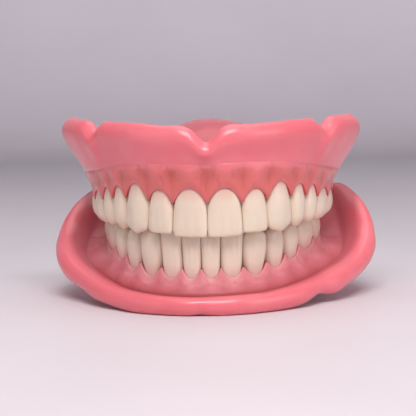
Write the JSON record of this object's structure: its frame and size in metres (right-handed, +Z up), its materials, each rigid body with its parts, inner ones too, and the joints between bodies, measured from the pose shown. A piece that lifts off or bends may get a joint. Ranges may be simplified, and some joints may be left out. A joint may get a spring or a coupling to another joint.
{
  "type": "typodont denture set",
  "caption": "Complete upper and lower denture set in occlusion: pink acrylic bases, translucent gum bands and ivory teeth; the upper lifts off the lower.",
  "frame": {"origin": "on the table under the middle of the set's bounding box, with the dentures in occlusion", "axes": "+Z up, -Y towards the front teeth, +X towards the patient's left"},
  "size_m": [0.0815, 0.0615, 0.0451],
  "materials": {
    "base_acrylic": "polished",
    "gum_acrylic": "polished",
    "tooth_acrylic": "polished"
  },
  "bodies": {
    "lower": {"lower_base": "base_acrylic", "lower_gingiva": "gum_acrylic", "lower_right_central_incisor": "tooth_acrylic", "lower_right_lateral_incisor": "tooth_acrylic", "lower_right_canine": "tooth_acrylic", "lower_right_first_premolar": "tooth_acrylic", "lower_right_second_premolar": "tooth_acrylic", "lower_right_first_molar": "tooth_acrylic", "lower_right_second_molar": "tooth_acrylic", "lower_left_central_incisor": "tooth_acrylic", "lower_left_lateral_incisor": "tooth_acrylic", "lower_left_canine": "tooth_acrylic", "lower_left_first_premolar": "tooth_acrylic", "lower_left_second_premolar": "tooth_acrylic", "lower_left_first_molar": "tooth_acrylic", "lower_left_second_molar": "tooth_acrylic"},
    "upper": {"upper_base": "base_acrylic", "upper_gingiva": "gum_acrylic", "upper_right_central_incisor": "tooth_acrylic", "upper_right_lateral_incisor": "tooth_acrylic", "upper_right_canine": "tooth_acrylic", "upper_right_first_premolar": "tooth_acrylic", "upper_right_second_premolar": "tooth_acrylic", "upper_right_first_molar": "tooth_acrylic", "upper_right_second_molar": "tooth_acrylic", "upper_left_central_incisor": "tooth_acrylic", "upper_left_lateral_incisor": "tooth_acrylic", "upper_left_canine": "tooth_acrylic", "upper_left_first_premolar": "tooth_acrylic", "upper_left_second_premolar": "tooth_acrylic", "upper_left_first_molar": "tooth_acrylic", "upper_left_second_molar": "tooth_acrylic"}
  },
  "joints": [
    {"name": "upper_lift", "type": "slide", "parent": "lower", "child": "upper", "axis": [0, 0, 1], "range_m": [0, 0.06]}
  ]
}
